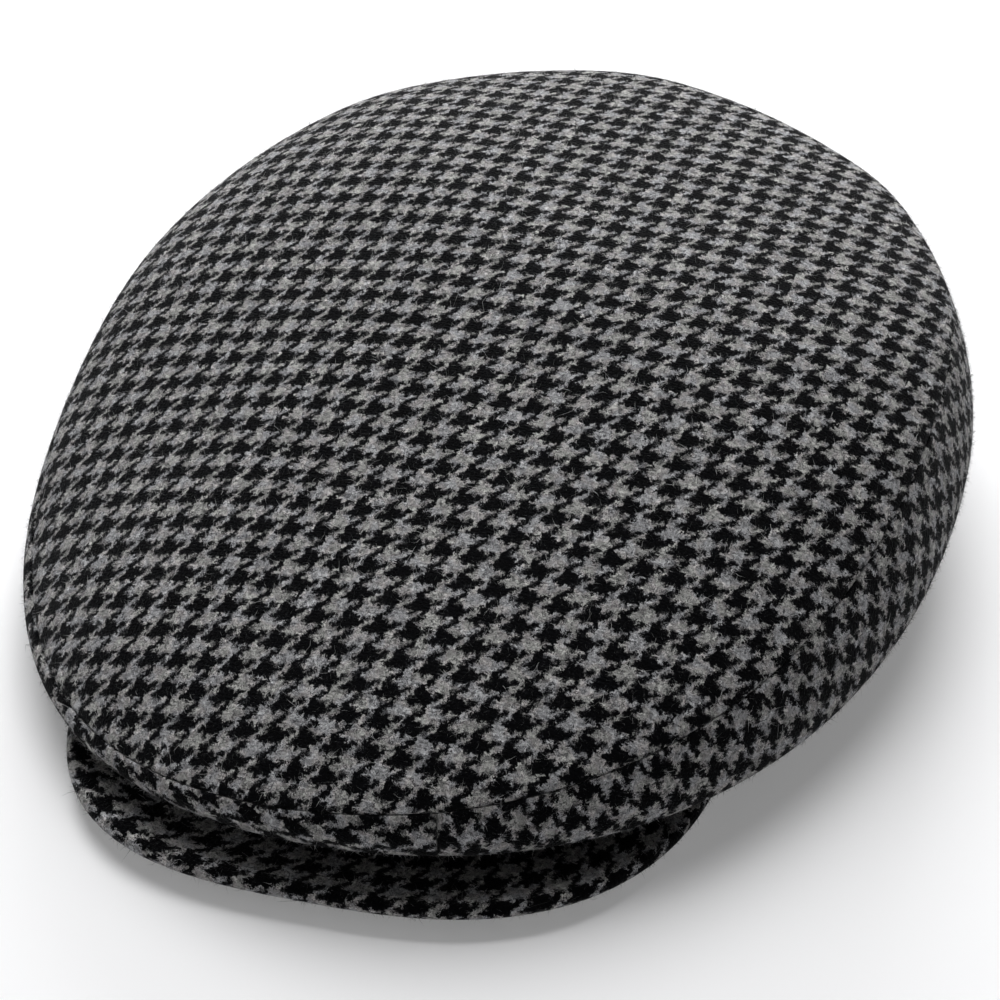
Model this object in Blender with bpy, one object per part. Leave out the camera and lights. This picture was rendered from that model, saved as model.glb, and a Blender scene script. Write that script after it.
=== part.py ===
"""Flat cap of wool cloth: one top panel, two side panels and a stiff peak.

The cap stands on the hem of its side panels, on the plane z = 0. The peak points to -Y,
+X is to the right of someone who faces the cap, and the origin lies on the floor at the
middle of the cap's box. All sizes are in metres, and all angles are in degrees.
"""
from collections import namedtuple
import math

import bmesh
import bpy
from mathutils import Vector
import numpy as np

# The crown: its widest line, its highest point and the seam of its top panel
CROWN_WIDTH = 0.2362
CROWN_LENGTH = 0.2630
CROWN_HEIGHT = 0.0720
APEX_BACK = 0.0520
APEX_ASIDE = -0.0018
SEAM_HEIGHT = 0.0430
SEAM_STEP_FRONT = 0.0018
SEAM_STEP_RIGHT = 0.0086
SEAM_STEP_LEFT = 0.0026
SEAM_STEP_BACK = 0.0050
BULGE_HEIGHT = 0.0200
PANEL_SEAM_TURN = 10.0

# The head opening, which is the hem of the side panels
HEM_WIDTH = 0.1720
HEM_LENGTH = 0.1980
HEM_FORWARD = 0.0050

# The cloth and the gap at its seams
CLOTH = 0.0022
SEAM_GAP = 0.0003

# The peak
PEAK_WIDTH = 0.1630
PEAK_ASIDE = -0.0015
PEAK_REACH = 0.0356
PEAK_DEPTH = 0.0816
PEAK_SQUARENESS = 2.56
PEAK_THICKNESS = 0.0040
PEAK_LIFT = 0.0012
PEAK_RISE = 0.0027
PEAK_HALF_ANGLE = 54.0
PEAK_CLEARANCE = 0.0004

# How finely the cloth is divided
COLUMNS = 72
TOP_ROWS = 16
UPPER_ROWS = 5
LOWER_ROWS = 9
PEAK_COLUMNS = 40
PEAK_ROWS = 6
EDGE_ROWS = 3
TINY = 0.000001

# Sections round the crown, by degrees from the front over the +X side. reach is a share
# of the oval of CROWN_WIDTH and CROWN_LENGTH, bulge of BULGE_HEIGHT and seam of
# SEAM_HEIGHT, and dome says how far out the top panel stays high there. The crown lies
# lower on its -X side and leans a little to the back and to +X.
Section = namedtuple("Section", "angle reach bulge seam dome")
SECTIONS = (
    Section(0, 1.004, 0.98, 0.59, 1.04),
    Section(30, 0.978, 0.86, 0.72, 1.50),
    Section(60, 0.968, 0.84, 0.89, 2.42),
    Section(90, 1.008, 1.22, 1.18, 2.90),
    Section(120, 1.082, 1.36, 1.33, 2.80),
    Section(150, 1.078, 1.45, 1.45, 2.58),
    Section(180, 1.050, 1.48, 1.50, 2.47),
    Section(210, 1.025, 1.40, 1.36, 2.17),
    Section(240, 0.989, 1.21, 1.03, 1.56),
    Section(270, 0.947, 0.93, 0.68, 1.26),
    Section(300, 0.966, 0.64, 0.38, 1.20),
    Section(330, 1.010, 0.70, 0.40, 1.09),
)
DOME_SQUARENESS = 1.54
DOME_EDGE = 0.985
DOME_CENTRE = 0.15
ROW_CROWDING = 1.5
UNDERSIDE_DROP = 0.80


def around(column, degrees):
    """Read one column of the sections at any angle, along a smooth closed curve."""
    angles = np.array([row.angle for row in SECTIONS], float)
    values = np.array([getattr(row, column) for row in SECTIONS], float)
    angles = np.concatenate([angles[-2:] - 360, angles, angles[:3] + 360])
    values = np.concatenate([values[-2:], values, values[:3]])
    slopes = np.gradient(values, angles)
    degrees = np.mod(degrees, 360)
    i = np.searchsorted(angles, degrees, side="right") - 1
    width = angles[i + 1] - angles[i]
    t = (degrees - angles[i]) / width
    start = values[i] * (1 + 2 * t) * (1 - t) ** 2 + slopes[i] * width * t * (1 - t) ** 2
    end = values[i + 1] * t * t * (3 - 2 * t) + slopes[i + 1] * width * t * t * (t - 1)
    return start + end


def across_and_along(degrees):
    """Direction in plan: 0 points to the front, 90 to +X."""
    turn = np.radians(degrees)
    return np.sin(turn), -np.cos(turn)


def oval_radius(degrees, half_width, half_length, forward=0.0, power=2.0):
    """Distance from the axis to an oval whose middle lies forward of the axis."""
    across, along = across_and_along(degrees)
    near = np.zeros_like(across)
    far = np.full_like(across, half_width + half_length + forward)
    for _ in range(50):
        radius = (near + far) / 2
        spread = np.abs(radius * across / half_width) ** power
        reach = np.abs((radius * along + forward) / half_length) ** power
        inside = spread + reach < 1
        near = np.where(inside, radius, near)
        far = np.where(inside, far, radius)
    return radius


def crown_radius(degrees):
    """Distance from the axis to the crown's widest line."""
    oval = oval_radius(degrees, CROWN_WIDTH / 2, CROWN_LENGTH / 2)
    return oval * around("reach", degrees)


def hem_radius(degrees):
    return oval_radius(degrees, HEM_WIDTH / 2, HEM_LENGTH / 2, HEM_FORWARD)


def seam_step(degrees):
    """How far the top panel's seam lies inside the widest line."""
    facing = np.cos(np.radians(degrees))
    end = np.where(facing > 0, SEAM_STEP_FRONT, SEAM_STEP_BACK)
    side = np.where(np.sin(np.radians(degrees)) > 0, SEAM_STEP_RIGHT, SEAM_STEP_LEFT)
    return side + (end - side) * facing ** 2


def ring(degrees, radius, height):
    across, along = across_and_along(degrees)
    return np.column_stack([radius * across, radius * along, height])


def dome_height(share, dome):
    """Height of the top panel from its middle (1) outwards, level at the middle itself."""
    spread = (share ** 2 + DOME_CENTRE ** 2) ** (dome / 2) - DOME_CENTRE ** dome
    whole = (1 + DOME_CENTRE ** 2) ** (dome / 2) - DOME_CENTRE ** dome
    return (1 - spread / whole) ** (1 / DOME_SQUARENESS)


def top_rows(degrees):
    """Rings of points from the middle of the top panel out to its seam."""
    reach = crown_radius(degrees) - seam_step(degrees)
    seam = SEAM_HEIGHT * around("seam", degrees)
    dome = around("dome", degrees)
    edge = dome_height(DOME_EDGE, dome)
    rows = []
    for k in range(TOP_ROWS + 1):
        share = 1 - (1 - k / TOP_ROWS) ** ROW_CROWDING
        full = dome_height(share * DOME_EDGE, dome)
        height = seam + (CROWN_HEIGHT - seam) * (full - edge) / (1 - edge)
        row = ring(degrees, share * reach, height)
        row[:, :2] += np.array([APEX_ASIDE, APEX_BACK]) * (1 - share)
        rows.append(row)
    return rows


def underside(degrees, t):
    """Radius and height of the side panels from the widest line (0) to the hem (1)."""
    start, out, inward, end = (1 - t) ** 3, 3 * t * (1 - t) ** 2, 3 * t * t * (1 - t), t ** 3
    widest = crown_radius(degrees)
    radius = widest - (widest - hem_radius(degrees)) * (inward + end)
    bulge = BULGE_HEIGHT * around("bulge", degrees)
    return radius, bulge * (start + (1 - UNDERSIDE_DROP) * out + inward)


def side_rows(degrees):
    """Rings of points from below the seam, round the widest line and down to the hem."""
    seam = SEAM_HEIGHT * around("seam", degrees)
    bulge = BULGE_HEIGHT * around("bulge", degrees)
    rows = []
    for k in range(1, UPPER_ROWS):
        left = 1 - k / UPPER_ROWS
        radius = crown_radius(degrees) - seam_step(degrees) * left ** 2
        rows.append(ring(degrees, radius, bulge + (seam - bulge) * left))
    for k in range(LOWER_ROWS + 1):
        rows.append(ring(degrees, *underside(degrees, k / LOWER_ROWS)))
    return rows


def unit(vectors):
    lengths = np.linalg.norm(vectors, axis=-1, keepdims=True)
    return vectors / np.maximum(lengths, TINY)


def crown_faces():
    """Rings of points from top to hem: the outer face, the inner face and the down-slope."""
    degrees = PANEL_SEAM_TURN + np.arange(COLUMNS) * 360 / COLUMNS
    outer = np.array(top_rows(degrees) + side_rows(degrees))
    steps = unit(np.diff(outer, axis=0))
    down = unit(np.concatenate([steps[:1], steps[:-1] + steps[1:], steps[-1:]]))
    onward = unit(np.roll(outer, -1, axis=1) - np.roll(outer, 1, axis=1))
    normals = unit(np.cross(down, onward))
    normals[0] = (0, 0, 1)
    inner = outer - CLOTH * normals
    # The hem is cut level, and is as wide as the cloth is thick
    inner[-1] = outer[-1] - CLOTH * ring(degrees, 1.0, np.zeros(COLUMNS))
    return outer, inner, down


def build_wall(name, outer, inner, closed, rims, colour):
    """Make a piece from two grids of points; rims tells which end rows are closed off."""
    shape = bmesh.new()
    grids = [[[shape.verts.new(point) for point in row] for row in face] for face in (outer, inner)]
    edges = []
    for grid in grids:
        edges += [(grid[k], grid[k + 1], closed) for k in range(len(grid) - 1)]
    edges += [(grids[0][end], grids[1][end], closed) for end in rims]
    if not closed:
        for end in (0, -1):
            edges.append(([row[end] for row in grids[0]], [row[end] for row in grids[1]], False))
    for one, two, looped in edges:
        for k in range(len(one) if looped else len(one) - 1):
            onward = (k + 1) % len(one)
            shape.faces.new((one[k], one[onward], two[onward], two[k]))
    bmesh.ops.remove_doubles(shape, verts=shape.verts, dist=0.00001)
    bmesh.ops.recalc_face_normals(shape, faces=shape.faces)
    mesh = bpy.data.meshes.new(name)
    shape.to_mesh(mesh)
    shape.free()
    mesh.shade_smooth()
    mesh.set_sharp_from_angle(angle=math.radians(50))
    material = bpy.data.materials.new(name)
    material.use_nodes = True
    shader = material.node_tree.nodes["Principled BSDF"]
    shader.inputs["Base Color"].default_value = (*colour, 1.0)
    shader.inputs["Roughness"].default_value = 0.95
    shader.inputs["Metallic"].default_value = 0.0
    mesh.materials.append(material)
    piece = bpy.data.objects.new(name, mesh)
    bpy.context.scene.collection.objects.link(piece)
    return piece


def build_crown_top(outer, inner, down):
    """The big oval panel, from its middle to just short of its seam."""
    faces = [outer[:TOP_ROWS + 1].copy(), inner[:TOP_ROWS + 1].copy()]
    for face in faces:
        face[-1] -= down[TOP_ROWS] * SEAM_GAP / 2
    return build_wall("crown_top", *faces, closed=True, rims=(-1,), colour=(0.105, 0.105, 0.110))


def build_side_panel(name, outer, inner, down, first, last, colour):
    """One side panel, between its front and its back seam."""
    columns = np.arange(first, last + 1) % COLUMNS
    faces = [outer[TOP_ROWS:, columns].copy(), inner[TOP_ROWS:, columns].copy()]
    for face in faces:
        face[0] += down[TOP_ROWS, columns] * SEAM_GAP / 2
        for column, other in ((0, 1), (-1, -2)):
            aside = unit((face[:, other] - face[:, column]) * (1, 1, 0))
            face[:, column] += aside * SEAM_GAP / 2
    return build_wall(name, *faces, closed=False, rims=(0, -1), colour=colour)


def peak_root(degrees):
    """Radius at which the peak's top edge stands clear of the side panels."""
    top = PEAK_LIFT + PEAK_THICKNESS
    rows = [underside(degrees, 1 - k / LOWER_ROWS) for k in range(LOWER_ROWS + 1)]
    radii, heights = np.array(rows).transpose(1, 2, 0)
    touch = [np.interp(top, height, radius) for radius, height in zip(radii, heights)]
    return np.array(touch) + PEAK_CLEARANCE


def build_peak():
    """A stiff plate that follows the hem and reaches forward, with a round outer edge."""
    degrees = np.linspace(-PEAK_HALF_ANGLE, PEAK_HALF_ANGLE, PEAK_COLUMNS + 1)
    root = peak_root(degrees)
    front = HEM_LENGTH / 2 + HEM_FORWARD + PEAK_REACH
    edge = oval_radius(degrees, PEAK_WIDTH / 2, PEAK_DEPTH, front - PEAK_DEPTH, PEAK_SQUARENESS)
    half = PEAK_THICKNESS / 2
    rise = PEAK_RISE * np.cos(np.radians(degrees)) ** 2
    faces = []
    for side in (1, -1):
        rows = []
        for k in range(PEAK_ROWS):
            share = k / PEAK_ROWS
            radius = root + share * (edge - half - root)
            height = PEAK_LIFT + half + rise * share ** 2 + side * half
            rows.append(ring(degrees, radius, height) + Vector((PEAK_ASIDE * share, 0, 0)))
        for k in range(EDGE_ROWS + 1):
            turn = math.pi / 2 * k / EDGE_ROWS
            radius = edge - half + half * math.sin(turn)
            height = PEAK_LIFT + half + rise + side * half * math.cos(turn)
            rows.append(ring(degrees, radius, height) + Vector((PEAK_ASIDE, 0, 0)))
        faces.append(np.array(rows))
    return build_wall("peak", *faces, closed=False, rims=(0,), colour=(0.075, 0.075, 0.080))


def centre_on_floor(pieces):
    """Shift the pieces so that the middle of their box lies over the origin."""
    corners = np.array([vertex.co for piece in pieces for vertex in piece.data.vertices])
    middle = (corners.min(axis=0) + corners.max(axis=0)) / 2
    for piece in pieces:
        for vertex in piece.data.vertices:
            vertex.co -= Vector((middle[0], middle[1], 0.0))


def build_cap():
    walls = crown_faces()
    half = COLUMNS // 2
    side_colour = (0.095, 0.095, 0.100)
    pieces = [
        build_crown_top(*walls),
        build_side_panel("side_panel_right", *walls, 0, half, side_colour),
        build_side_panel("side_panel_left", *walls, half, COLUMNS, side_colour),
        build_peak(),
    ]
    centre_on_floor(pieces)


for old in list(bpy.data.objects):
    bpy.data.objects.remove(old)
build_cap()
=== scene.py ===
"""Flat cap of houndstooth wool cloth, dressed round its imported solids.

Metres, +Z up, the peak points to -Y. The crown is worked out in sections round a vertical
axis, as its solids are: 0 degrees is the front and 90 the +X side. Its panels and the peak
are sheets of cloth, each laid out flat so that the houndstooth lies on it as it was woven.
"""
from collections import namedtuple
import math

import bpy
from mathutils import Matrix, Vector
import numpy as np


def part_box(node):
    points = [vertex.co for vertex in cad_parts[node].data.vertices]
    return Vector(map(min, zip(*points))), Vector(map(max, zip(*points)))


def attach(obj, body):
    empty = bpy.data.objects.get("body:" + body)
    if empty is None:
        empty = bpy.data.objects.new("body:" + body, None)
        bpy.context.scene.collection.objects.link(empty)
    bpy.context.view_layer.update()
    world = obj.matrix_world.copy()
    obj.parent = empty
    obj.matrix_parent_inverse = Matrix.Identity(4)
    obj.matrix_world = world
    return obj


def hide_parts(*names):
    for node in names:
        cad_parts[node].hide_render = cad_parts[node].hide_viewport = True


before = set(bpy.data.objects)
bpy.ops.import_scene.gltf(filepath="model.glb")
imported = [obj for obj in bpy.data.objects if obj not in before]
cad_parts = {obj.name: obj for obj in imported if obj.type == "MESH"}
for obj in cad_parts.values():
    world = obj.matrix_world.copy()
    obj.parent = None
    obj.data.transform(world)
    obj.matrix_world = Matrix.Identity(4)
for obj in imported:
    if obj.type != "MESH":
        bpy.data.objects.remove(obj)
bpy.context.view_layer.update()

# Crown, seam and hem
CROWN_WIDTH = 0.2362
CROWN_LENGTH = 0.2630
CROWN_HEIGHT = 0.0720
APEX_BACK = 0.0520
APEX_ASIDE = -0.0018
SEAM_HEIGHT = 0.0430
SEAM_STEP_FRONT = 0.0018
SEAM_STEP_RIGHT = 0.0086
SEAM_STEP_LEFT = 0.0026
SEAM_STEP_BACK = 0.0050
BULGE_HEIGHT = 0.0200
PANEL_SEAM_TURN = 10.0
HEM_WIDTH = 0.1720
HEM_LENGTH = 0.1980
HEM_FORWARD = 0.0050

# Round the crown by degrees: the reach and height of the widest line and the height of the
# seam, as shares of the crown's own, and how square the dome is there
Section = namedtuple("Section", "angle reach bulge seam dome")
SECTIONS = (
    Section(0, 1.004, 0.98, 0.59, 1.04),
    Section(30, 0.978, 0.86, 0.72, 1.50),
    Section(60, 0.968, 0.84, 0.89, 2.42),
    Section(90, 1.008, 1.22, 1.18, 2.90),
    Section(120, 1.082, 1.36, 1.33, 2.80),
    Section(150, 1.078, 1.45, 1.45, 2.58),
    Section(180, 1.050, 1.48, 1.50, 2.47),
    Section(210, 1.025, 1.40, 1.36, 2.17),
    Section(240, 0.989, 1.21, 1.03, 1.56),
    Section(270, 0.947, 0.93, 0.68, 1.26),
    Section(300, 0.966, 0.64, 0.38, 1.20),
    Section(330, 1.010, 0.70, 0.40, 1.09),
)
DOME_SQUARENESS = 1.54
DOME_EDGE = 0.985
DOME_CENTRE = 0.15
ROW_CROWDING = 1.5
UNDERSIDE_DROP = 0.80

# Slight corners of the crown's outline, where the cloth stands out, by degrees
Corner = namedtuple("Corner", "angle out spread")
CORNERS = (
    Corner(138, 0.0016, 7),
    Corner(174, 0.0020, 8),
    Corner(208, 0.0014, 7),
)

# Peak
PEAK_HALF_RIGHT = 0.0802
PEAK_HALF_LEFT = 0.0757
PEAK_ASIDE = -0.0027
PEAK_REACH = 0.0346
PEAK_DEPTH = 0.0816
PEAK_SQUARENESS_RIGHT = 2.56
PEAK_SQUARENESS_LEFT = 3.00
PEAK_THICKNESS = 0.0040
PEAK_LIFT = 0.0012
PEAK_RISE = 0.0027
PEAK_HALF_ANGLE = 54.0
PEAK_ROOT_OUT = 0.0030
PEAK_COLUMNS = 55
PEAK_ROWS = 8

# The solid peak, by which the axis is found
CAD_PEAK_ASIDE = -0.0015
CAD_PEAK_REACH = 0.0356

# Cloth, seams and the houndstooth's repeat
CLOTH = 0.0018
SEAM_GAP = 0.0001
SEAM_EASE = 0.0003
SEAM_DIP = 0.00005
ALLOWANCE_DEPTHS = (0.0004, 0.0018, 0.0050)
MERGE_DISTANCE = 0.00001
REPEAT = 0.0075
THREADS = 8

# What the smoothing of the cloth takes from its widest line
SMOOTHING_LOSS = 0.0004

# Rows and columns of the crown's cloth, before it is smoothed
COLUMNS = 72
TOP_ROWS = 18
UPPER_ROWS = 5
LOWER_ROWS = 10

# Halvings that find an oval's edge, and the least length that a vector is divided by
HALVINGS = 50
TINY = 1e-6

# Corners round an anchor that give the warp's direction, and the steps of turn, in degrees,
# in which the smallest rectangle round a cut is sought
ANCHOR_CORNERS = 200
TILT_STEP = 3

# Where the pattern is set on each piece, from the axis, and how far it is turned there
Grain = namedtuple("Grain", "piece x y z turn")
GRAINS = (
    Grain("crown_top", 0, -0.050, 0.060, 5.6),
    Grain("side_panel_right", 0.080, -0.090, 0.025, 5.6),
    Grain("side_panel_left", -0.050, -0.120, 0.022, 5.6),
    Grain("peak", 0, -0.130, 0.008, 0.0),
)

# Houndstooth: how far, in threads, curls and wisps push the threads across and along
CURL_PUSH = (2.5, 2.5)
WISP_PUSHES = ((3.0, 0.6), (-0.8, 2.8), (1.6, -3.0))
STREAK_PUSH = (1.2, 1.2)
# Just under a half, so that whole threads fall clearly on one side
HALF = 0.499
# What the threads and the streaks of fibre each give to the cloth's grey
TONE_SHARE = 0.63
STREAK_SHARE = 0.39
GREY_DROP = 0.128
STREAK_CONTRAST = 2.6
# What the threads' roundness and the nap each give to the cloth's relief
ROUND_SHARE = 0.4
NAP_SHARE = 1.6

# Loose fibres: how many to the square metre, their length as a gamma draw over the least
# one, and how far they rise for each part that they run along the cloth
Fibre = namedtuple("Fibre", "kind per_area least shape scale lift")
FIBRES = (
    Fibre("short", 760000, 0.0006, 4.0, 0.00020, (0.3, 1.5)),
    Fibre("long", 90000, 0.0008, 3.0, 0.0006, (0.06, 0.22)),
)
FIBRE_RADIUS = (0.000026, 0.000046)
FIBRE_ROOT = 0.00008
BEND_TAPER = 0.8
BEND_ASIDE = (0, 0.7)
BEND_OUT = (-0.1, 0.5)
FLOOR_CLEARANCE = 0.0002
# A slant that each fibre's direction is turned from
SLANT = (0.37, 0.61, 0.70)
# The faces of one fibre: a spike of four points, or a bent one of seven
SPIKE_FACES = ((2, 1, 0), (0, 1, 3), (1, 2, 3), (2, 0, 3))
BENT_FACES = ((2, 1, 0), (0, 1, 4, 3), (1, 2, 5, 4), (2, 0, 3, 5),
              (3, 4, 6), (4, 5, 6), (5, 3, 6))

# Floor, lights, which all point at the cap, and camera
FLOOR_SIZE = 12.0
ROOM_LIGHT = 0.07
Softbox = namedtuple("Softbox", "name place size power")
SOFTBOXES = (
    Softbox("key", (-0.42, 1.66, 2.46), 2.4, 113.0),
    Softbox("rim", (-0.35, 2.60, 0.80), 1.0, 60.0),
    Softbox("side", (-1.8, -0.5, 1.1), 1.2, 3.4),
)
VIEW_TURN = math.radians(13.79)
VIEW_RISE = math.radians(38.06)
SENSOR_WIDTH = 36.0
LENS = 90.74
CAMERA_FROM_AXIS = (0.12629, -0.49402, 0.41062)

AXIS = (
    (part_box("peak")[0].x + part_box("peak")[1].x) / 2 - CAD_PEAK_ASIDE,
    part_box("peak")[0].y + HEM_LENGTH / 2 + HEM_FORWARD + CAD_PEAK_REACH,
    0.0,
)


def around(column, degrees):
    """One column of the sections' table at any angle, on a smooth curve."""
    angles = np.array([row.angle for row in SECTIONS], float)
    values = np.array([getattr(row, column) for row in SECTIONS], float)
    angles = np.concatenate([angles[-2:] - 360, angles, angles[:3] + 360])
    values = np.concatenate([values[-2:], values, values[:3]])
    slopes = np.gradient(values, angles)
    degrees = np.mod(degrees, 360)
    i = np.searchsorted(angles, degrees, side="right") - 1
    width = angles[i + 1] - angles[i]
    t = (degrees - angles[i]) / width
    start = values[i] * (1 + 2 * t) * (1 - t) ** 2 + slopes[i] * width * t * (1 - t) ** 2
    end = values[i + 1] * t * t * (3 - 2 * t) + slopes[i + 1] * width * t * t * (t - 1)
    return start + end


def oval_radius(degrees, half_width, half_length, forward=0.0, power=2.0):
    """How far an oval's edge is from the axis. Its middle may lie forward of the axis, and
    a power over 2 makes it squarer."""
    across, along = np.sin(np.radians(degrees)), -np.cos(np.radians(degrees))
    near = np.zeros_like(across)
    far = np.full_like(across, half_width + half_length + forward)
    for _ in range(HALVINGS):
        radius = (near + far) / 2
        spread = np.abs(radius * across / half_width) ** power
        reach = np.abs((radius * along + forward) / half_length) ** power
        near = np.where(spread + reach < 1, radius, near)
        far = np.where(spread + reach < 1, far, radius)
    return radius


def crown_radius(degrees):
    """How far the crown's widest line is from the axis."""
    radius = oval_radius(degrees, CROWN_WIDTH / 2, CROWN_LENGTH / 2) * around("reach", degrees)
    for corner in CORNERS:
        away = (degrees - corner.angle + 180) % 360 - 180
        radius = radius + corner.out * np.exp(-(away / corner.spread) ** 2)
    return radius + SMOOTHING_LOSS


def hem_radius(degrees):
    """How far the hem is from the axis."""
    return oval_radius(degrees, HEM_WIDTH / 2, HEM_LENGTH / 2, HEM_FORWARD)


def seam_step(degrees):
    """How far the seam lies inside the widest line."""
    facing = np.cos(np.radians(degrees))
    end = np.where(facing > 0, SEAM_STEP_FRONT, SEAM_STEP_BACK)
    side = np.where(np.sin(np.radians(degrees)) > 0, SEAM_STEP_RIGHT, SEAM_STEP_LEFT)
    return side + (end - side) * facing ** 2


def ring(degrees, radius, height):
    """A row of points round the axis."""
    turn = np.radians(degrees)
    return np.column_stack([radius * np.sin(turn), -radius * np.cos(turn),
                            height * np.ones(len(turn))])


def dome_height(share, dome):
    """The dome's height at a share of its reach: 1 in the middle and 0 at the rim."""
    spread = (share ** 2 + DOME_CENTRE ** 2) ** (dome / 2) - DOME_CENTRE ** dome
    whole = (1 + DOME_CENTRE ** 2) ** (dome / 2) - DOME_CENTRE ** dome
    return (1 - spread / whole) ** (1 / DOME_SQUARENESS)


def top_rows(degrees):
    """Rows of the top panel, from its middle to the seam."""
    reach = crown_radius(degrees) - seam_step(degrees)
    seam = SEAM_HEIGHT * around("seam", degrees)
    dome = around("dome", degrees)
    edge = dome_height(DOME_EDGE, dome)
    rows = []
    for k in range(TOP_ROWS + 1):
        share = 1 - (1 - k / TOP_ROWS) ** ROW_CROWDING
        full = dome_height(share * DOME_EDGE, dome)
        height = seam + (CROWN_HEIGHT - seam) * (full - edge) / (1 - edge)
        row = ring(degrees, share * reach, height)
        row[:, :2] += np.array([APEX_ASIDE, APEX_BACK]) * (1 - share)
        rows.append(row)
    return rows


def underside(degrees, t):
    """Radius and height from the widest line, where t is 0, to the hem, where it is 1."""
    start, out, inward, end = (1 - t) ** 3, 3 * t * (1 - t) ** 2, 3 * t * t * (1 - t), t ** 3
    widest = crown_radius(degrees)
    bulge = BULGE_HEIGHT * around("bulge", degrees)
    radius = widest - (widest - hem_radius(degrees)) * (inward + end)
    return radius, bulge * (start + (1 - UNDERSIDE_DROP) * out + inward)


def side_rows(degrees):
    """Rows of the side panels, from under the seam to the hem."""
    seam = SEAM_HEIGHT * around("seam", degrees)
    bulge = BULGE_HEIGHT * around("bulge", degrees)
    rows = []
    for k in range(1, UPPER_ROWS):
        left = 1 - k / UPPER_ROWS
        radius = crown_radius(degrees) - seam_step(degrees) * left ** 2
        rows.append(ring(degrees, radius, bulge + (seam - bulge) * left))
    for k in range(LOWER_ROWS + 1):
        rows.append(ring(degrees, *underside(degrees, k / LOWER_ROWS)))
    return rows


def unit(vectors):
    """Vectors brought to the length 1."""
    return vectors / np.maximum(np.linalg.norm(vectors, axis=-1, keepdims=True), TINY)


def crown_face():
    """Rings of points from top to hem, the down-slope and the outward normals."""
    degrees = PANEL_SEAM_TURN + np.arange(COLUMNS) * 360 / COLUMNS
    outer = np.array(top_rows(degrees) + side_rows(degrees)) + np.array(AXIS)
    steps = unit(np.diff(outer, axis=0))
    down = unit(np.concatenate([steps[:1], steps[:-1] + steps[1:], steps[-1:]]))
    onward = unit(np.roll(outer, -1, axis=1) - np.roll(outer, 1, axis=1))
    normals = unit(np.cross(down, onward))
    normals[0] = (0, 0, 1)
    return outer, down, normals


def new_object(name, data):
    """Put new data in the scene as an object."""
    made = bpy.data.objects.new(name, data)
    bpy.context.scene.collection.objects.link(made)
    return made


def take_up(piece):
    """Make a piece the only one that is selected, for the operators."""
    for thing in bpy.context.selected_objects:
        thing.select_set(False)
    bpy.context.view_layer.objects.active = piece
    piece.select_set(True)


def edit(piece, merge=False, unwrap=False):
    """Open a piece, merge its doubles or lay it out flat, and close it again."""
    take_up(piece)
    bpy.ops.object.mode_set(mode="EDIT")
    bpy.ops.mesh.select_all(action="SELECT")
    if merge:
        bpy.ops.mesh.remove_doubles(threshold=MERGE_DISTANCE)
    if unwrap:
        bpy.ops.uv.unwrap(method="MINIMUM_STRETCH", iterations=30, margin=0.0)
    bpy.ops.object.mode_set(mode="OBJECT")


def grid_mesh(name, grid, closed):
    """A sheet of four-sided faces from rows of points; its doubles are merged."""
    rows, columns = grid.shape[:2]
    index = np.arange(rows * columns).reshape(rows, columns)
    if closed:
        index = np.concatenate([index, index[:, :1]], axis=1)
    faces = np.stack([index[:-1, :-1], index[1:, :-1], index[1:, 1:], index[:-1, 1:]], -1)
    mesh = bpy.data.meshes.new(name)
    mesh.from_pydata(grid.reshape(-1, 3).tolist(), [], faces.reshape(-1, 4).tolist())
    piece = new_object(name, mesh)
    edit(piece, merge=True)
    return piece


def finish_modifier(piece, kind, **values):
    """Add one modifier to a piece and apply it."""
    modifier = piece.modifiers.new(kind.title(), kind)
    for key, value in values.items():
        setattr(modifier, key, value)
    take_up(piece)
    bpy.ops.object.modifier_apply(modifier=modifier.name)


def read(collection, key, size, kind=np.float32):
    """One property of all points, corners or faces, with a row for each."""
    values = np.zeros(len(collection) * size, kind)
    collection.foreach_get(key, values)
    return values.reshape(-1, size) if size > 1 else values


def spread_of_layout(mesh, flat):
    """How much larger than its layout a sheet is, and the sheet's area."""
    starts = read(mesh.polygons, "loop_start", 1, np.int32)
    totals = read(mesh.polygons, "loop_total", 1, np.int32)
    real = read(mesh.polygons, "area", 1).astype(float)
    laid = np.zeros(len(starts))
    for k in range(1, totals.max() - 1):
        on = totals > k + 1
        a, b, c = flat[starts[on]], flat[starts[on] + k], flat[starts[on] + k + 1]
        laid[on] += np.abs(np.cross(b - a, c - a)) / 2
    return math.sqrt(real.sum() / laid.sum()), float(real.sum())


def smallest_rectangle(flat):
    """The sides of the smallest rectangle that a layout in repeats fits in, in metres."""
    boxes = []
    for tilt in np.radians(np.arange(0, 90, TILT_STEP)):
        level = flat @ np.array([[np.cos(tilt), -np.sin(tilt)], [np.sin(tilt), np.cos(tilt)]])
        boxes.append((level.max(axis=0) - level.min(axis=0)) * REPEAT)
    return tuple(min(boxes, key=lambda box: box[0] * box[1]).tolist())


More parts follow.
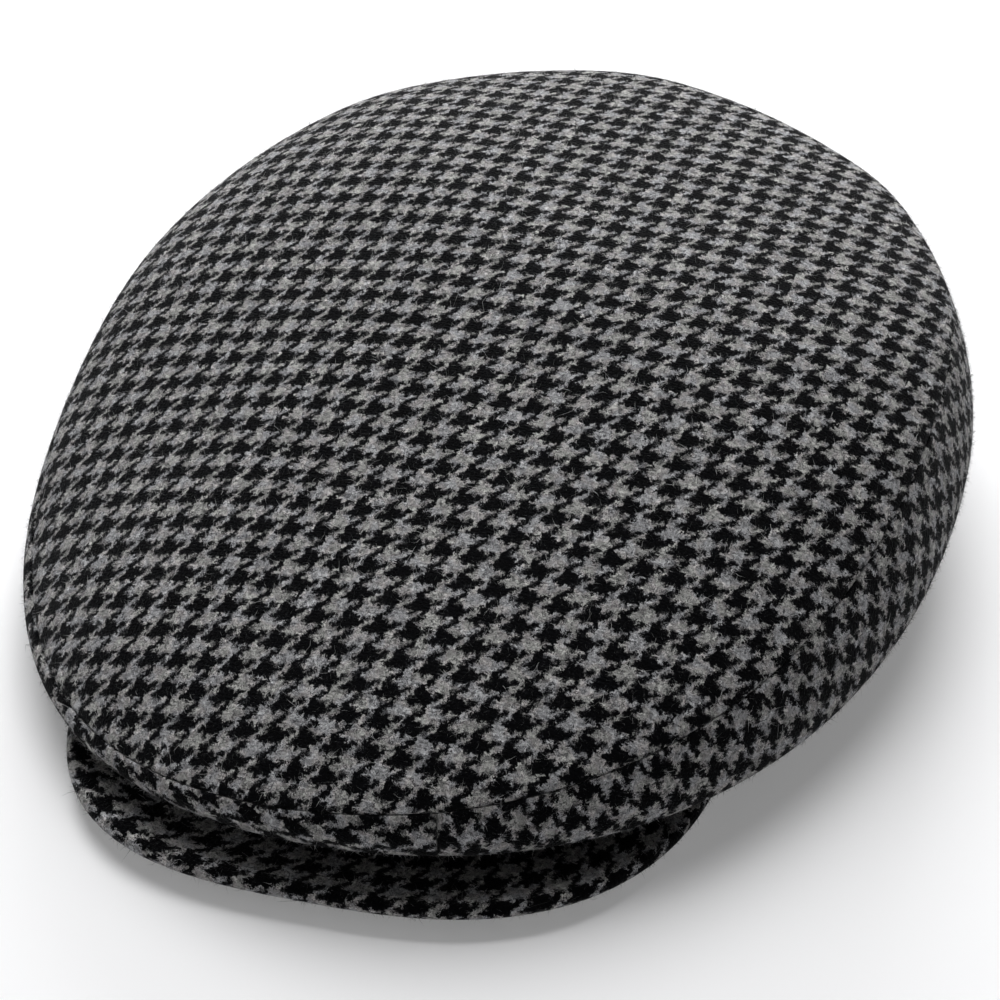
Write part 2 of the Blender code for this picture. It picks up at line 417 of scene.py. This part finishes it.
def lay_out(piece, anchor, turn):
    """Lay a sheet out flat, at the cloth's size in repeats of its pattern. At the anchor
    the warp runs to the back, turned by some degrees. Gives the cut's sides and area."""
    edit(piece, unwrap=True)
    mesh = piece.data
    layer = mesh.uv_layers.active
    layer.name = "weave"
    flat = read(layer.data, "uv", 2).astype(float)
    corner = read(mesh.loops, "vertex_index", 1, np.int32)
    points = read(mesh.vertices, "co", 3).astype(float)
    growth, area = spread_of_layout(mesh, flat)
    # The direction of the warp in the layout, from the corners round the anchor
    distance = np.linalg.norm(points[corner] - np.array(anchor), axis=1)
    near = np.argsort(distance)[:ANCHOR_CORNERS]
    middle, flat_middle = points[corner][near].mean(axis=0), flat[near].mean(axis=0)
    fit = np.linalg.lstsq(points[corner][near] - middle, flat[near] - flat_middle, rcond=1e-3)[0]
    warp = np.array((0.0, 1.0, 0.0)) @ fit
    angle = math.pi / 2 + math.radians(turn) - math.atan2(warp[1], warp[0])
    spin = np.array([[math.cos(angle), math.sin(angle)], [-math.sin(angle), math.cos(angle)]])
    flat = (flat - flat_middle) @ spin * (growth / REPEAT)
    layer.data.foreach_set("uv", flat.astype(np.float32).ravel())
    return smallest_rectangle(flat), area


def seam_allowance(edge, inward, aside):
    """Rows of points that turn a panel's edge in beside its neighbour's."""
    return [edge + inward * depth + aside * SEAM_GAP / 2 for depth in ALLOWANCE_DEPTHS]


def turn_in_end(grid, into, end, beside):
    """Columns that turn one end of a panel in. The end itself is eased back from the seam."""
    aside = unit((grid[:, beside] - grid[:, end]) * (1, 1, 0))
    columns = seam_allowance(grid[:, end], into[:, end], aside)
    grid[:, end] += aside * SEAM_EASE
    return np.stack(columns, axis=1)


def sew_crown():
    """The top panel and the two side panels, with their edges turned in at the seams."""
    outer, down, normals = crown_face()
    seam = TOP_ROWS
    inward, dip = -normals[seam], normals[seam] * SEAM_DIP
    top = list(outer[:seam]) + [outer[seam] - down[seam] * SEAM_EASE - dip]
    top += seam_allowance(outer[seam], inward, -down[seam])
    sewn = {"crown_top": grid_mesh("cloth_crown_top", np.array(top), closed=True)}
    half = COLUMNS // 2
    for name, first in (("side_panel_right", 0), ("side_panel_left", half)):
        pick = np.arange(first, first + half + 1) % COLUMNS
        rows = seam_allowance(outer[seam], inward, down[seam])[::-1]
        rows += [outer[seam] + down[seam] * SEAM_EASE - dip]
        rows += list(outer[seam + 1:])
        grid = np.array(rows)[:, pick]
        edge_normals = np.repeat(normals[seam:seam + 1], len(ALLOWANCE_DEPTHS) + 1, axis=0)
        into = -unit(np.concatenate([edge_normals, normals[seam + 1:]])[:, pick])
        start = turn_in_end(grid, into, 0, 1)[:, ::-1]
        end = turn_in_end(grid, into, -1, -2)
        sewn[name] = grid_mesh("cloth_" + name, np.concatenate([start, grid, end], axis=1),
                               closed=False)
    return sewn


def build_peak():
    """The covered peak: over its top from the root, round the nose and back underneath."""
    degrees = np.linspace(-PEAK_HALF_ANGLE, PEAK_HALF_ANGLE, PEAK_COLUMNS)
    front = HEM_LENGTH / 2 + HEM_FORWARD + PEAK_REACH
    power = np.where(degrees > 0, PEAK_SQUARENESS_RIGHT, PEAK_SQUARENESS_LEFT)
    half_width = np.where(degrees > 0, PEAK_HALF_RIGHT, PEAK_HALF_LEFT)
    edge = oval_radius(degrees, half_width, PEAK_DEPTH, front - PEAK_DEPTH, power)
    half = PEAK_THICKNESS / 2
    rise = PEAK_RISE * np.cos(np.radians(degrees)) ** 2
    root = hem_radius(degrees) + PEAK_ROOT_OUT

    def row(share, face):
        return root + share * (edge - half - root), half + rise * share ** 2 + face, share

    rows = [row(k / PEAK_ROWS, half) for k in range(PEAK_ROWS)]
    for k in range(PEAK_ROWS + 1):
        turn = math.pi * k / PEAK_ROWS
        rows.append((edge - half + half * math.sin(turn), half + rise + half * math.cos(turn), 1))
    rows += [row(k / PEAK_ROWS, -half) for k in reversed(range(PEAK_ROWS))]
    grid = np.array([ring(degrees, r, PEAK_LIFT + h) + np.array((PEAK_ASIDE * share, 0, 0))
                     for r, h, share in rows]) + np.array(AXIS)
    return grid_mesh("cloth_peak", grid, closed=False)


class Flow:
    """A socket of a material's nodes, which can stand in sums and comparisons."""

    def __init__(self, tree, socket):
        self.tree = tree
        self.socket = socket

    def node(self, kind, settings=(), inputs=(), output=0):
        """Add a node with its settings and inputs, and give one of its outputs."""
        made = self.tree.nodes.new(kind)
        for key, value in dict(settings).items():
            setattr(made, key, value)
        for key, value in dict(inputs).items():
            if isinstance(value, Flow):
                self.tree.links.new(value.socket, made.inputs[key])
            else:
                made.inputs[key].default_value = value
        return Flow(self.tree, made.outputs[output])

    def maths(self, operation, *others):
        """A Math node on this socket and the others."""
        inputs = dict(enumerate((self, *others)))
        return self.node("ShaderNodeMath", {"operation": operation}, inputs)

    def __add__(self, other):
        return self.maths("ADD", other)

    __radd__ = __add__

    def __mul__(self, other):
        return self.maths("MULTIPLY", other)

    __rmul__ = __mul__

    def __sub__(self, other):
        return self.maths("SUBTRACT", other)

    def __rsub__(self, other):
        return self.node("ShaderNodeMath", {"operation": "SUBTRACT"}, {0: other, 1: self})

    def __truediv__(self, other):
        return self.maths("DIVIDE", other)

    def __lt__(self, other):
        return self.maths("LESS_THAN", other)

    def blend(self, low, high):
        """low where this is 0 and high where it is 1, for numbers."""
        return self * high + (1 - self) * low


def new_material(name, **sockets):
    """A material with its shader's plain sockets set, the shader, and a start for nodes."""
    material = bpy.data.materials.new(name)
    material.use_nodes = True
    tree = material.node_tree
    shader = tree.nodes["Principled BSDF"]
    for socket, value in sockets.items():
        shader.inputs[socket.replace("_", " ")].default_value = value
    return material, shader, Flow(tree, None)


def thread_places(flow):
    """Places on the flat cloth, counted in threads across and along."""
    weave = flow.node("ShaderNodeUVMap", {"uv_map": "weave"})
    return flow.node("ShaderNodeVectorMath", {"operation": "SCALE"},
                     {0: weave, "Scale": float(THREADS)})


def noise(flow, place, scale, detail, rough=0.6, colour=False):
    """Cloudy noise over the flat cloth, from 0 to 1."""
    return flow.node("ShaderNodeTexNoise", {"noise_dimensions": "2D"},
                     {"Vector": place, "Scale": scale, "Detail": detail, "Roughness": rough},
                     output=int(colour))


def pushed(flow, place, cloud, reach):
    """The places of threads, pushed aside by a coloured noise."""
    offset = [share * -0.5 for share in reach]
    start = flow.node("ShaderNodeVectorMath", {"operation": "ADD"}, {0: place, 1: (*offset, 0)})
    return flow.node("ShaderNodeVectorMath", {"operation": "MULTIPLY_ADD"},
                     {0: cloud, 1: (*reach, 0), 2: start})


def light_threads(flow, places):
    """1 where a light thread lies on top and 0 where a dark one does. Also 1 where the
    thread on top is of the warp, and the places across and along."""
    split = flow.node("ShaderNodeSeparateXYZ", {}, {0: places})
    x, y = split, Flow(flow.tree, split.socket.node.outputs[1])
    across, along = x.maths("FLOOR"), y.maths("FLOOR")
    warp_light = 1 - ((across / THREADS).maths("FRACT") < HALF)
    weft_light = 1 - ((along / THREADS).maths("FRACT") < HALF)
    warp_up = ((across - along) / (THREADS / 2)).maths("FRACT") < HALF
    return warp_up.blend(weft_light, warp_light), warp_up, x, y


def ramp_between(flow, value, stops):
    """A colour read from a few stops of place and colour."""
    node = flow.node("ShaderNodeValToRGB", {}, {0: value})
    ramp = node.socket.node.color_ramp
    while len(ramp.elements) < len(stops):
        ramp.elements.new(0.5)
    for stop, (place, colour) in zip(ramp.elements, stops):
        stop.position = place
        stop.color = (*colour, 1.0)
    return node


def wool(name, light, dark):
    """Brushed houndstooth: frayed light and dark threads, streaks of fibre, faint tints."""
    material, shader, flow = new_material(
        name, Roughness=0.95, Specular_IOR_Level=0.04, Sheen_Weight=0.09,
        Sheen_Roughness=0.3, Sheen_Tint=(0.8, 0.8, 0.82, 1))
    threads = thread_places(flow)
    curls = noise(flow, threads, 0.75, 2.0, 0.7, colour=True)
    wisps = noise(flow, threads, 2.1, 1.0, 0.7, colour=True)
    base = pushed(flow, threads, curls, CURL_PUSH)
    taps = [light_threads(flow, pushed(flow, base, wisps, push)) for push in WISP_PUSHES]
    tone = (taps[0][0] + taps[1][0] + taps[2][0]) / len(taps)
    warp_up = taps[0][1]
    # Streaks of fibre follow the thread on top, and curl
    stretch = flow.node("ShaderNodeCombineXYZ", {}, {0: warp_up * 1.1 + 0.6,
                                                     1: 1.7 - warp_up * 1.1})
    place = flow.node("ShaderNodeVectorMath", {"operation": "MULTIPLY"},
                      {0: pushed(flow, base, wisps, STREAK_PUSH), 1: stretch})
    streaks = (noise(flow, place, 1.0, 1.0, 0.6) - 0.5) * STREAK_CONTRAST + 0.5
    level = tone * TONE_SHARE + streaks * STREAK_SHARE - GREY_DROP
    grey = ramp_between(flow, level, (
        (0.0, (dark * 0.9, dark, dark * 1.3)),
        (0.30, (dark * 2.2, dark * 2.4, dark * 3.0)),
        (0.50, (light * 0.21, light * 0.21, light * 0.22)),
        (0.72, (light * 0.85,) * 3),
        (1.0, (light * 1.9,) * 3),
    ))
    tint = ramp_between(flow, noise(flow, threads, 0.2, 1.0), (
        (0.40, (1.00, 1.00, 0.96)),
        (0.48, (1.04, 0.99, 0.98)),
        (0.54, (1.00, 0.99, 1.00)),
        (0.62, (0.98, 0.99, 1.02)),
    ))
    colour = flow.node("ShaderNodeMix", {"data_type": "RGBA", "blend_type": "MULTIPLY"},
                       {0: 1.0, 6: grey, 7: tint}, output=2)
    flow.tree.links.new(colour.socket, shader.inputs["Base Color"])
    # Relief of round threads under a nap
    _, warp_up, x, y = light_threads(flow, threads)
    round_x = (x.maths("FRACT") * math.pi).maths("SINE")
    round_y = (y.maths("FRACT") * math.pi).maths("SINE")
    nap = noise(flow, threads, 1.6, 2.0, 0.8)
    height = warp_up.blend(round_y, round_x) * ROUND_SHARE + nap * NAP_SHARE
    bump = flow.node("ShaderNodeBump", {},
                     {"Height": height, "Distance": 0.0006, "Strength": 0.58})
    flow.tree.links.new(bump.socket, shader.inputs["Normal"])
    return material


def fibre_finish(name, light, dark):
    """The same cloth's loose fibres, light or dark as the thread that they come from."""
    material, shader, flow = new_material(name, Roughness=0.8, Specular_IOR_Level=0.1)
    threads = thread_places(flow)
    tone = light_threads(flow, threads)[0]
    chance = flow.node("ShaderNodeTexWhiteNoise", {"noise_dimensions": "2D"},
                       {"Vector": threads})
    grey = ramp_between(flow, tone * 0.6 + chance * 0.6, (
        (0.0, (dark * 2.5,) * 3),
        (0.45, (dark * 5,) * 3),
        (0.6, (light * 0.8,) * 3),
        (1.0, (light * 2.0,) * 3),
    ))
    flow.tree.links.new(grey.socket, shader.inputs["Base Color"])
    return material


def scatter(piece, faces, count, rng):
    """Random points on a piece's outer faces, their normals and their places on the cloth."""
    mesh = piece.data
    corners = read(mesh.polygons, "loop_start", 1, np.int32)[:faces]
    area = read(mesh.polygons, "area", 1)[:faces].astype(float)
    vertex = read(mesh.loops, "vertex_index", 1, np.int32)
    points = read(mesh.vertices, "co", 3).astype(float)
    normals = read(mesh.vertices, "normal", 3).astype(float)
    flat = read(mesh.uv_layers["weave"].data, "uv", 2).astype(float)
    pick = rng.choice(faces, count, p=area / area.sum())
    u, v = rng.random((2, count, 1))
    shares = ((1 - u) * (1 - v), u * (1 - v), u * v, (1 - u) * v)
    ends = [corners[pick] + k for k in range(4)]
    root = sum(s * points[vertex[e]] for s, e in zip(shares, ends))
    out = unit(sum(s * normals[vertex[e]] for s, e in zip(shares, ends)))
    place = sum(s * flat[e] for s, e in zip(shares, ends))
    return root, out, place


def fibre_mesh(name, rows, faces, place):
    """One object of many alike fibres, each with its row of points and its place."""
    count, size = rows.shape[:2]
    corners = [corner for face in faces for corner in face]
    loops = (np.arange(count)[:, None] * size + np.array(corners)[None]).ravel()
    lengths = np.tile([len(face) for face in faces], count)
    starts = np.concatenate([[0], np.cumsum(lengths)[:-1]])
    mesh = bpy.data.meshes.new(name)
    mesh.vertices.add(count * size)
    mesh.vertices.foreach_set("co", rows.astype(np.float32).ravel())
    mesh.loops.add(len(loops))
    mesh.loops.foreach_set("vertex_index", loops.astype(np.int32))
    mesh.polygons.add(len(starts))
    mesh.polygons.foreach_set("loop_start", starts.astype(np.int32))
    mesh.update(calc_edges=True)
    layer = mesh.uv_layers.new(name="weave")
    places = np.repeat(place, len(corners), axis=0)
    layer.data.foreach_set("uv", places.astype(np.float32).ravel())
    mesh.validate()
    return new_object(name, mesh)


def fuzz(name, piece, faces, count, fibre, seed):
    """Loose fibres on a piece's outer faces: short ones that stand up, or long bent ones
    that lie nearly flat. Each is a three-sided spike; none reaches the floor."""
    rng = np.random.default_rng(seed)
    root, out, place = scatter(piece, faces, count, rng)
    turn = rng.random((count, 1)) * 2 * math.pi
    side = unit(np.cross(out, SLANT))
    lie = side * np.cos(turn) + np.cross(out, side) * np.sin(turn)
    aside = np.cross(out, lie)
    length = rng.gamma(fibre.shape, fibre.scale, (count, 1)) + fibre.least
    lift = rng.uniform(*fibre.lift, (count, 1))
    first = unit(lie + out * lift)
    radius = rng.uniform(*FIBRE_RADIUS, (count, 1))
    start = root - out * FIBRE_ROOT
    angles = [2 * math.pi * k / 3 for k in range(3)]
    rings = [math.cos(a) * aside + math.sin(a) * np.cross(first, aside) for a in angles]
    rows = [start + r * radius for r in rings]
    if fibre.kind == "long":
        bend = start + first * length * 0.5
        swing = aside * rng.normal(*BEND_ASIDE, (count, 1))
        swing = swing + out * rng.normal(*BEND_OUT, (count, 1))
        rows += [bend + r * radius * BEND_TAPER for r in rings]
        rows += [bend + unit(first + swing) * length * 0.5]
        shape = BENT_FACES
    else:
        rows += [start + first * length]
        shape = SPIKE_FACES
    rows = np.stack(rows, axis=1)
    clear = rows[:, :, 2].min(axis=1) > FLOOR_CLEARANCE
    return fibre_mesh(name, rows[clear], shape, place[clear])


def hang_softbox(box):
    """A square soft light that points at the cap."""
    data = bpy.data.lights.new(box.name, "AREA")
    data.shape = "SQUARE"
    data.size = box.size
    data.energy = box.power
    lamp = new_object(box.name, data)
    lamp.location = box.place
    lamp.rotation_euler = (-Vector(box.place)).to_track_quat("-Z", "Y").to_euler()


# Cut, lay out and sew the cloth
for thing in bpy.context.selected_objects:
    thing.select_set(False)
pieces = sew_crown()
pieces["peak"] = build_peak()
cuts, areas, outer_faces = {}, {}, {}
for grain in GRAINS:
    anchor = Vector(AXIS) + Vector((grain.x, grain.y, grain.z))
    cuts[grain.piece], areas[grain.piece] = lay_out(pieces[grain.piece], anchor, grain.turn)
for name, piece in pieces.items():
    finish_modifier(piece, "SUBSURF", levels=2, render_levels=2)
    outer_faces[name] = len(piece.data.polygons)
    if name != "peak":
        finish_modifier(piece, "SOLIDIFY", thickness=CLOTH, offset=-1.0)
    take_up(piece)
    bpy.ops.object.shade_smooth()
    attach(piece, "root")
    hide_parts(name)

# Finish it, and raise its nap
cloth = wool("houndstooth_wool", 0.385, 0.0015)
nap = fibre_finish("wool_fibres", 0.35, 0.002)
for name, piece in pieces.items():
    piece.data.materials.append(cloth)
    kind = "peak_cloth" if name == "peak" else "wool_cloth"
    for lot, fibre in enumerate(FIBRES):
        fibres = fuzz("fuzz_%s_%s" % (name, fibre.kind), piece, outer_faces[name],
                      int(fibre.per_area * areas[name]), fibre, len(name) + lot)
        fibres.data.materials.append(nap)
        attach(fibres, "root")
    if name != "peak":
        (["peak"] if name != "crown_top" else
                 ["side_panel_right", "side_panel_left"])

# Floor
bpy.ops.mesh.primitive_plane_add(size=FLOOR_SIZE, location=(0, 0, 0))
floor = bpy.context.object
floor.name = "floor"
floor.select_set(False)
paper, _, _ = new_material("floor_paper", Base_Color=(0.73, 0.73, 0.74, 1), Roughness=0.9,
                           Emission_Color=(1.0, 1.0, 1.0, 1), Emission_Strength=0.21)
floor.data.materials.append(paper)

# Light
for box in SOFTBOXES:
    hang_softbox(box)
world = bpy.data.worlds.new("room")
world.use_nodes = True
background = world.node_tree.nodes["Background"]
background.inputs["Color"].default_value = (1.0, 1.0, 1.0, 1)
background.inputs["Strength"].default_value = ROOM_LIGHT
bpy.context.scene.world = world
bpy.context.scene.view_settings.view_transform = "Standard"

# Camera at the photograph's angle
view_back = Vector((math.sin(VIEW_TURN) * math.cos(VIEW_RISE),
                    -math.cos(VIEW_TURN) * math.cos(VIEW_RISE), math.sin(VIEW_RISE)))
lens = bpy.data.cameras.new("photo_view")
lens.sensor_width = SENSOR_WIDTH
lens.lens = LENS
camera = new_object("photo_view", lens)
camera.location = Vector(CAMERA_FROM_AXIS) + Vector(AXIS)
camera.rotation_mode = "QUATERNION"
camera.rotation_quaternion = (-view_back).to_track_quat("-Z", "Y")
bpy.context.scene.camera = camera
